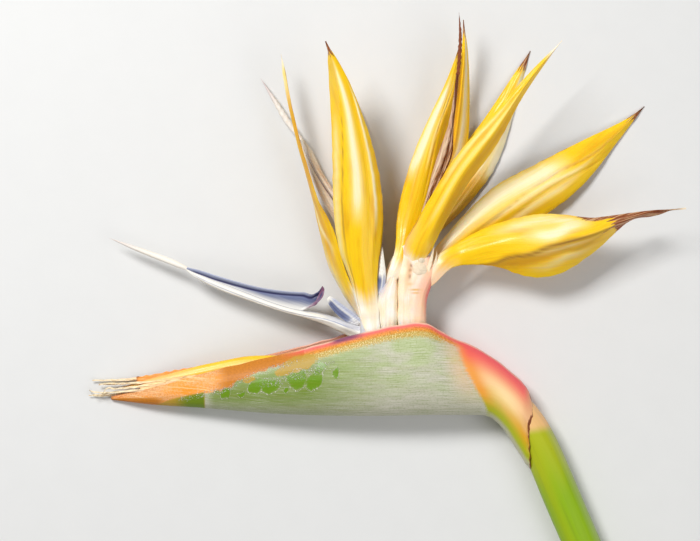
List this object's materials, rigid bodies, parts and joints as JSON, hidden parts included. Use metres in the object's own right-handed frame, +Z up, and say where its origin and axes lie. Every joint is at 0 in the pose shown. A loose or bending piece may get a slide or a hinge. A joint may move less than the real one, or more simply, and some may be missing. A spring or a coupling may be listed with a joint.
{
  "type": "bird of paradise flower",
  "caption": "Cut bird of paradise flower: a beaked boat-shaped spathe with pointed yellow sepals and a blue arrow petal, lying on its side with a length of stem.",
  "frame": {"origin": "on the surface the flower lies on, under the middle of its bounding box", "axes": "+Z up from that surface; +Y the way the fan of sepals points, with the cut end of the stem towards -Y; -X the way the spathe's beak and the blue arrow point"},
  "size_m": [0.2212, 0.2716, 0.0332],
  "materials": {
    "stem_green": "satin",
    "spathe_glaucous": "satin",
    "sepal_yellow": "satin",
    "flower_base_cream": "satin",
    "arrow_blue": "satin",
    "arrow_aged": "matte",
    "withered_brown": "matte",
    "style_white": "matte",
    "bract_papery": "matte"
  },
  "bodies": {
    "root": {"stem": "stem_green", "spathe": "spathe_glaucous", "closed_bud": "sepal_yellow", "flower_1_sepal_median": "sepal_yellow", "flower_1_sepal_near": "sepal_yellow", "flower_1_sepal_far": "sepal_yellow", "flower_2_sepal_left": "sepal_yellow", "flower_2_sepal_right": "sepal_yellow", "flower_2_sepal_far": "sepal_yellow", "flower_3_sepal_top": "sepal_yellow", "flower_3_sepal_middle": "sepal_yellow", "flower_3_sepal_low": "sepal_yellow", "flower_1_base": "flower_base_cream", "flower_2_base": "flower_base_cream", "flower_3_base": "flower_base_cream", "flower_1_arrow": "arrow_blue", "flower_1_nectary_petal": "arrow_blue", "flower_2_nectary_petal": "arrow_blue", "flower_2_arrow": "arrow_aged", "flower_3_arrow": "withered_brown", "flower_3_style": "withered_brown", "flower_3_filament_1": "withered_brown", "flower_3_filament_2": "withered_brown", "flower_1_style": "style_white", "flower_2_style": "style_white", "flower_3_stub": "style_white", "bract_near": "bract_papery", "bract_far": "bract_papery", "bract_tip": "bract_papery"}
  },
  "joints": []
}
